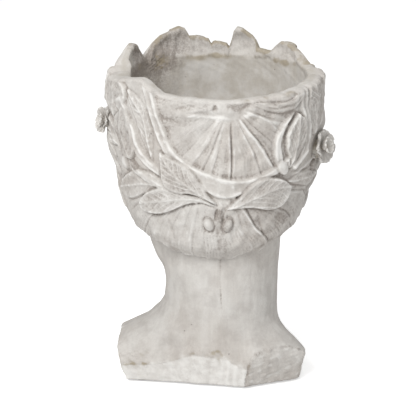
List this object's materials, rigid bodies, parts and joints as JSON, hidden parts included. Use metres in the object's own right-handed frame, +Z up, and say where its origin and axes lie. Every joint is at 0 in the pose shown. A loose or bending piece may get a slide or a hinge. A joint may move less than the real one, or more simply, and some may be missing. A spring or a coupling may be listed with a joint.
{
  "type": "head planter",
  "caption": "Open-crowned cement head planter: a wreathed classical bust with a planting cavity, a drain hole with a lift-out stopper and felt pads under its base.",
  "frame": {"origin": "middle of the bounding box in plan, on the surface the planter stands on", "axes": "+Z up; +Y towards the back of the head, -Y the side the face looks to; +X the bust's own left"},
  "size_m": [0.207, 0.1828, 0.2976],
  "materials": {
    "cement": "matt cast cement, whitewashed, darker in the recesses",
    "rubber": "matt black",
    "felt": "dark brown needle felt"
  },
  "bodies": {
    "planter": {"cast_planter": "cement", "foot_pad_front_left": "felt", "foot_pad_front_right": "felt", "foot_pad_back_left": "felt", "foot_pad_back_right": "felt"},
    "stopper": {"drain_plug": "rubber"}
  },
  "joints": [
    {"name": "plug_lift", "type": "slide", "parent": "planter", "child": "stopper", "axis": [0, 0, 1], "range_m": [0, 0.3]}
  ]
}
